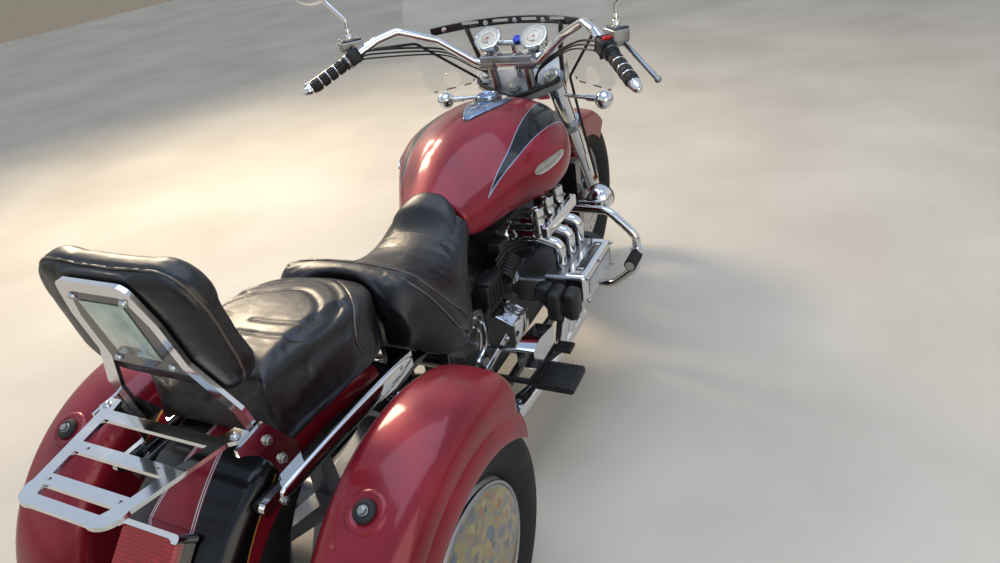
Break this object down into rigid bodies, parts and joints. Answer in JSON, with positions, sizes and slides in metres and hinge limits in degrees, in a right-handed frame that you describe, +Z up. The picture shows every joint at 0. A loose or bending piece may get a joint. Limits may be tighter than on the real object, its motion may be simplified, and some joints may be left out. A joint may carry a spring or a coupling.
{
  "type": "flat-six cruiser motorcycle with outrigger wheels",
  "caption": "Heavy cruiser motorcycle with a flat-six engine and windshield, steadied by an outrigger wheel under its own domed fender on each side of the rear wheel",
  "frame": {"origin": "floor level under the middle of the overall length, on the machine's centre plane", "axes": "+Y forward, +X to the rider's right, +Z up"},
  "size_m": [1.1498, 2.556, 1.3461],
  "materials": {
    "crimson_paint": "gloss",
    "black_paint": "gloss",
    "chrome": "polished",
    "cast_alloy": "satin",
    "steel": "satin",
    "tyre_rubber": "matt",
    "black_rubber": "matt",
    "black_leather": "satin",
    "clear_screen": "clear",
    "red_lens": "gloss",
    "black_plastic": "matt"
  },
  "bodies": {
    "chassis": {"frame": "black_paint", "swingarm": "black_paint", "swingarm_pivot": "steel", "rear_axle": "steel", "rear_shocks": "chrome", "engine_block": "cast_alloy", "cylinder_banks": "cast_alloy", "valve_covers": "chrome", "engine_covers": "black_plastic", "intake_runners": "chrome", "radiator": "black_paint", "exhausts": "chrome", "fuel_tank": "crimson_paint", "filler_console": "chrome", "rider_seat": "black_leather", "pillion_seat": "black_leather", "side_covers": "black_paint", "rear_fender": "crimson_paint", "tail_lamp": "red_lens", "lamp_bezel": "chrome", "sissy_bar": "chrome", "backrest_plate": "black_paint", "backrest_pad": "black_leather", "luggage_rack": "chrome", "fender_struts": "chrome", "engine_guards": "chrome", "driving_lamps": "chrome", "foot_controls": "black_rubber", "passenger_pegs": "chrome", "heel_guards": "chrome", "outrigger_carrier": "black_paint", "outrigger_fenders": "crimson_paint"},
    "steering": {"fork_legs": "chrome", "front_axle": "steel", "triple_clamps": "cast_alloy", "handlebar": "chrome", "bar_clamps": "cast_alloy", "grips": "black_rubber", "hand_controls": "cast_alloy", "mirrors": "chrome", "gauges": "chrome", "headlamp": "chrome", "windshield": "clear_screen", "windshield_bracket": "chrome", "turn_signals": "chrome", "front_fender": "crimson_paint", "brake_calipers": "cast_alloy", "control_hoses": "black_rubber"},
    "front_wheel": {"front_tyre": "tyre_rubber", "front_rim": "cast_alloy", "front_discs": "steel"},
    "rear_wheel": {"rear_tyre": "tyre_rubber", "rear_rim": "cast_alloy"},
    "outrigger_wheel_right": {"outrigger_tyre_right": "tyre_rubber", "outrigger_rim_right": "cast_alloy"},
    "outrigger_wheel_left": {"outrigger_tyre_left": "tyre_rubber", "outrigger_rim_left": "cast_alloy"},
    "side_stand": {"side_stand": "chrome"}
  },
  "joints": [
    {"name": "steering", "type": "hinge", "parent": "chassis", "child": "steering", "pos_m": [0, 0.57823, 0.81587], "axis": [0, -0.5344, 0.8453], "range_deg": [-38, 38]},
    {"name": "front_wheel_spin", "type": "hinge", "parent": "steering", "child": "front_wheel", "pos_m": [0, 0.942, 0.336], "axis": [1, 0, 0], "continuous": true},
    {"name": "rear_wheel_spin", "type": "hinge", "parent": "chassis", "child": "rear_wheel", "pos_m": [0, -0.747, 0.329], "axis": [1, 0, 0], "continuous": true},
    {"name": "outrigger_spin_right", "type": "hinge", "parent": "chassis", "child": "outrigger_wheel_right", "pos_m": [0.357, -0.827, 0.315], "axis": [1, 0, 0], "continuous": true},
    {"name": "outrigger_spin_left", "type": "hinge", "parent": "chassis", "child": "outrigger_wheel_left", "pos_m": [-0.357, -0.827, 0.315], "axis": [1, 0, 0], "continuous": true},
    {"name": "stand_swing", "type": "hinge", "parent": "chassis", "child": "side_stand", "pos_m": [-0.165, -0.057, 0.138], "axis": [1, 0, 0], "range_deg": [0, 100]}
  ]
}
